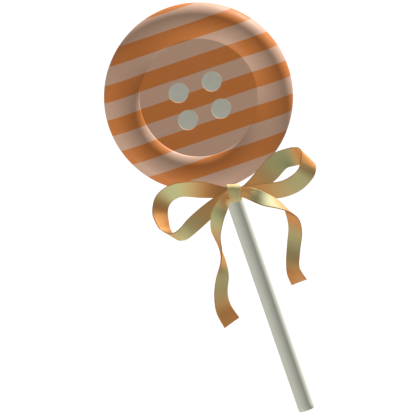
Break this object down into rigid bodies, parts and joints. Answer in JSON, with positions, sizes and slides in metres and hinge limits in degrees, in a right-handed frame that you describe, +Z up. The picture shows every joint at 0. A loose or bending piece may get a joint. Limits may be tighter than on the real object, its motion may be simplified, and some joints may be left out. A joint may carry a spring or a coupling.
{
  "type": "button-shaped lollipop",
  "caption": "Round striped candy lollipop shaped like a sewing button, with a rounded rim, cream dots, a paper stick and a satin ribbon bow, lying on its back.",
  "frame": {"origin": "on the floor, under the middle of the whole outline", "axes": "+Y from the stick's free end towards the candy, +Z up out of the shown face, +X to the right of that face"},
  "size_m": [0.07, 0.1586, 0.0173],
  "materials": {
    "striped_candy": "glossy hard candy in orange and peach stripes",
    "cream_candy": "glossy cream hard candy",
    "rolled_paper": "off-white rolled paper, satin",
    "satin_ribbon": "two-tone gold and orange satin"
  },
  "bodies": {
    "root": {"candy_disc": "striped_candy", "cream_dot_1": "cream_candy", "cream_dot_2": "cream_candy", "cream_dot_3": "cream_candy", "cream_dot_4": "cream_candy", "stick": "rolled_paper", "ribbon_loops": "satin_ribbon", "ribbon_tails": "satin_ribbon", "ribbon_knot": "satin_ribbon", "ribbon_tie": "satin_ribbon"}
  },
  "joints": []
}
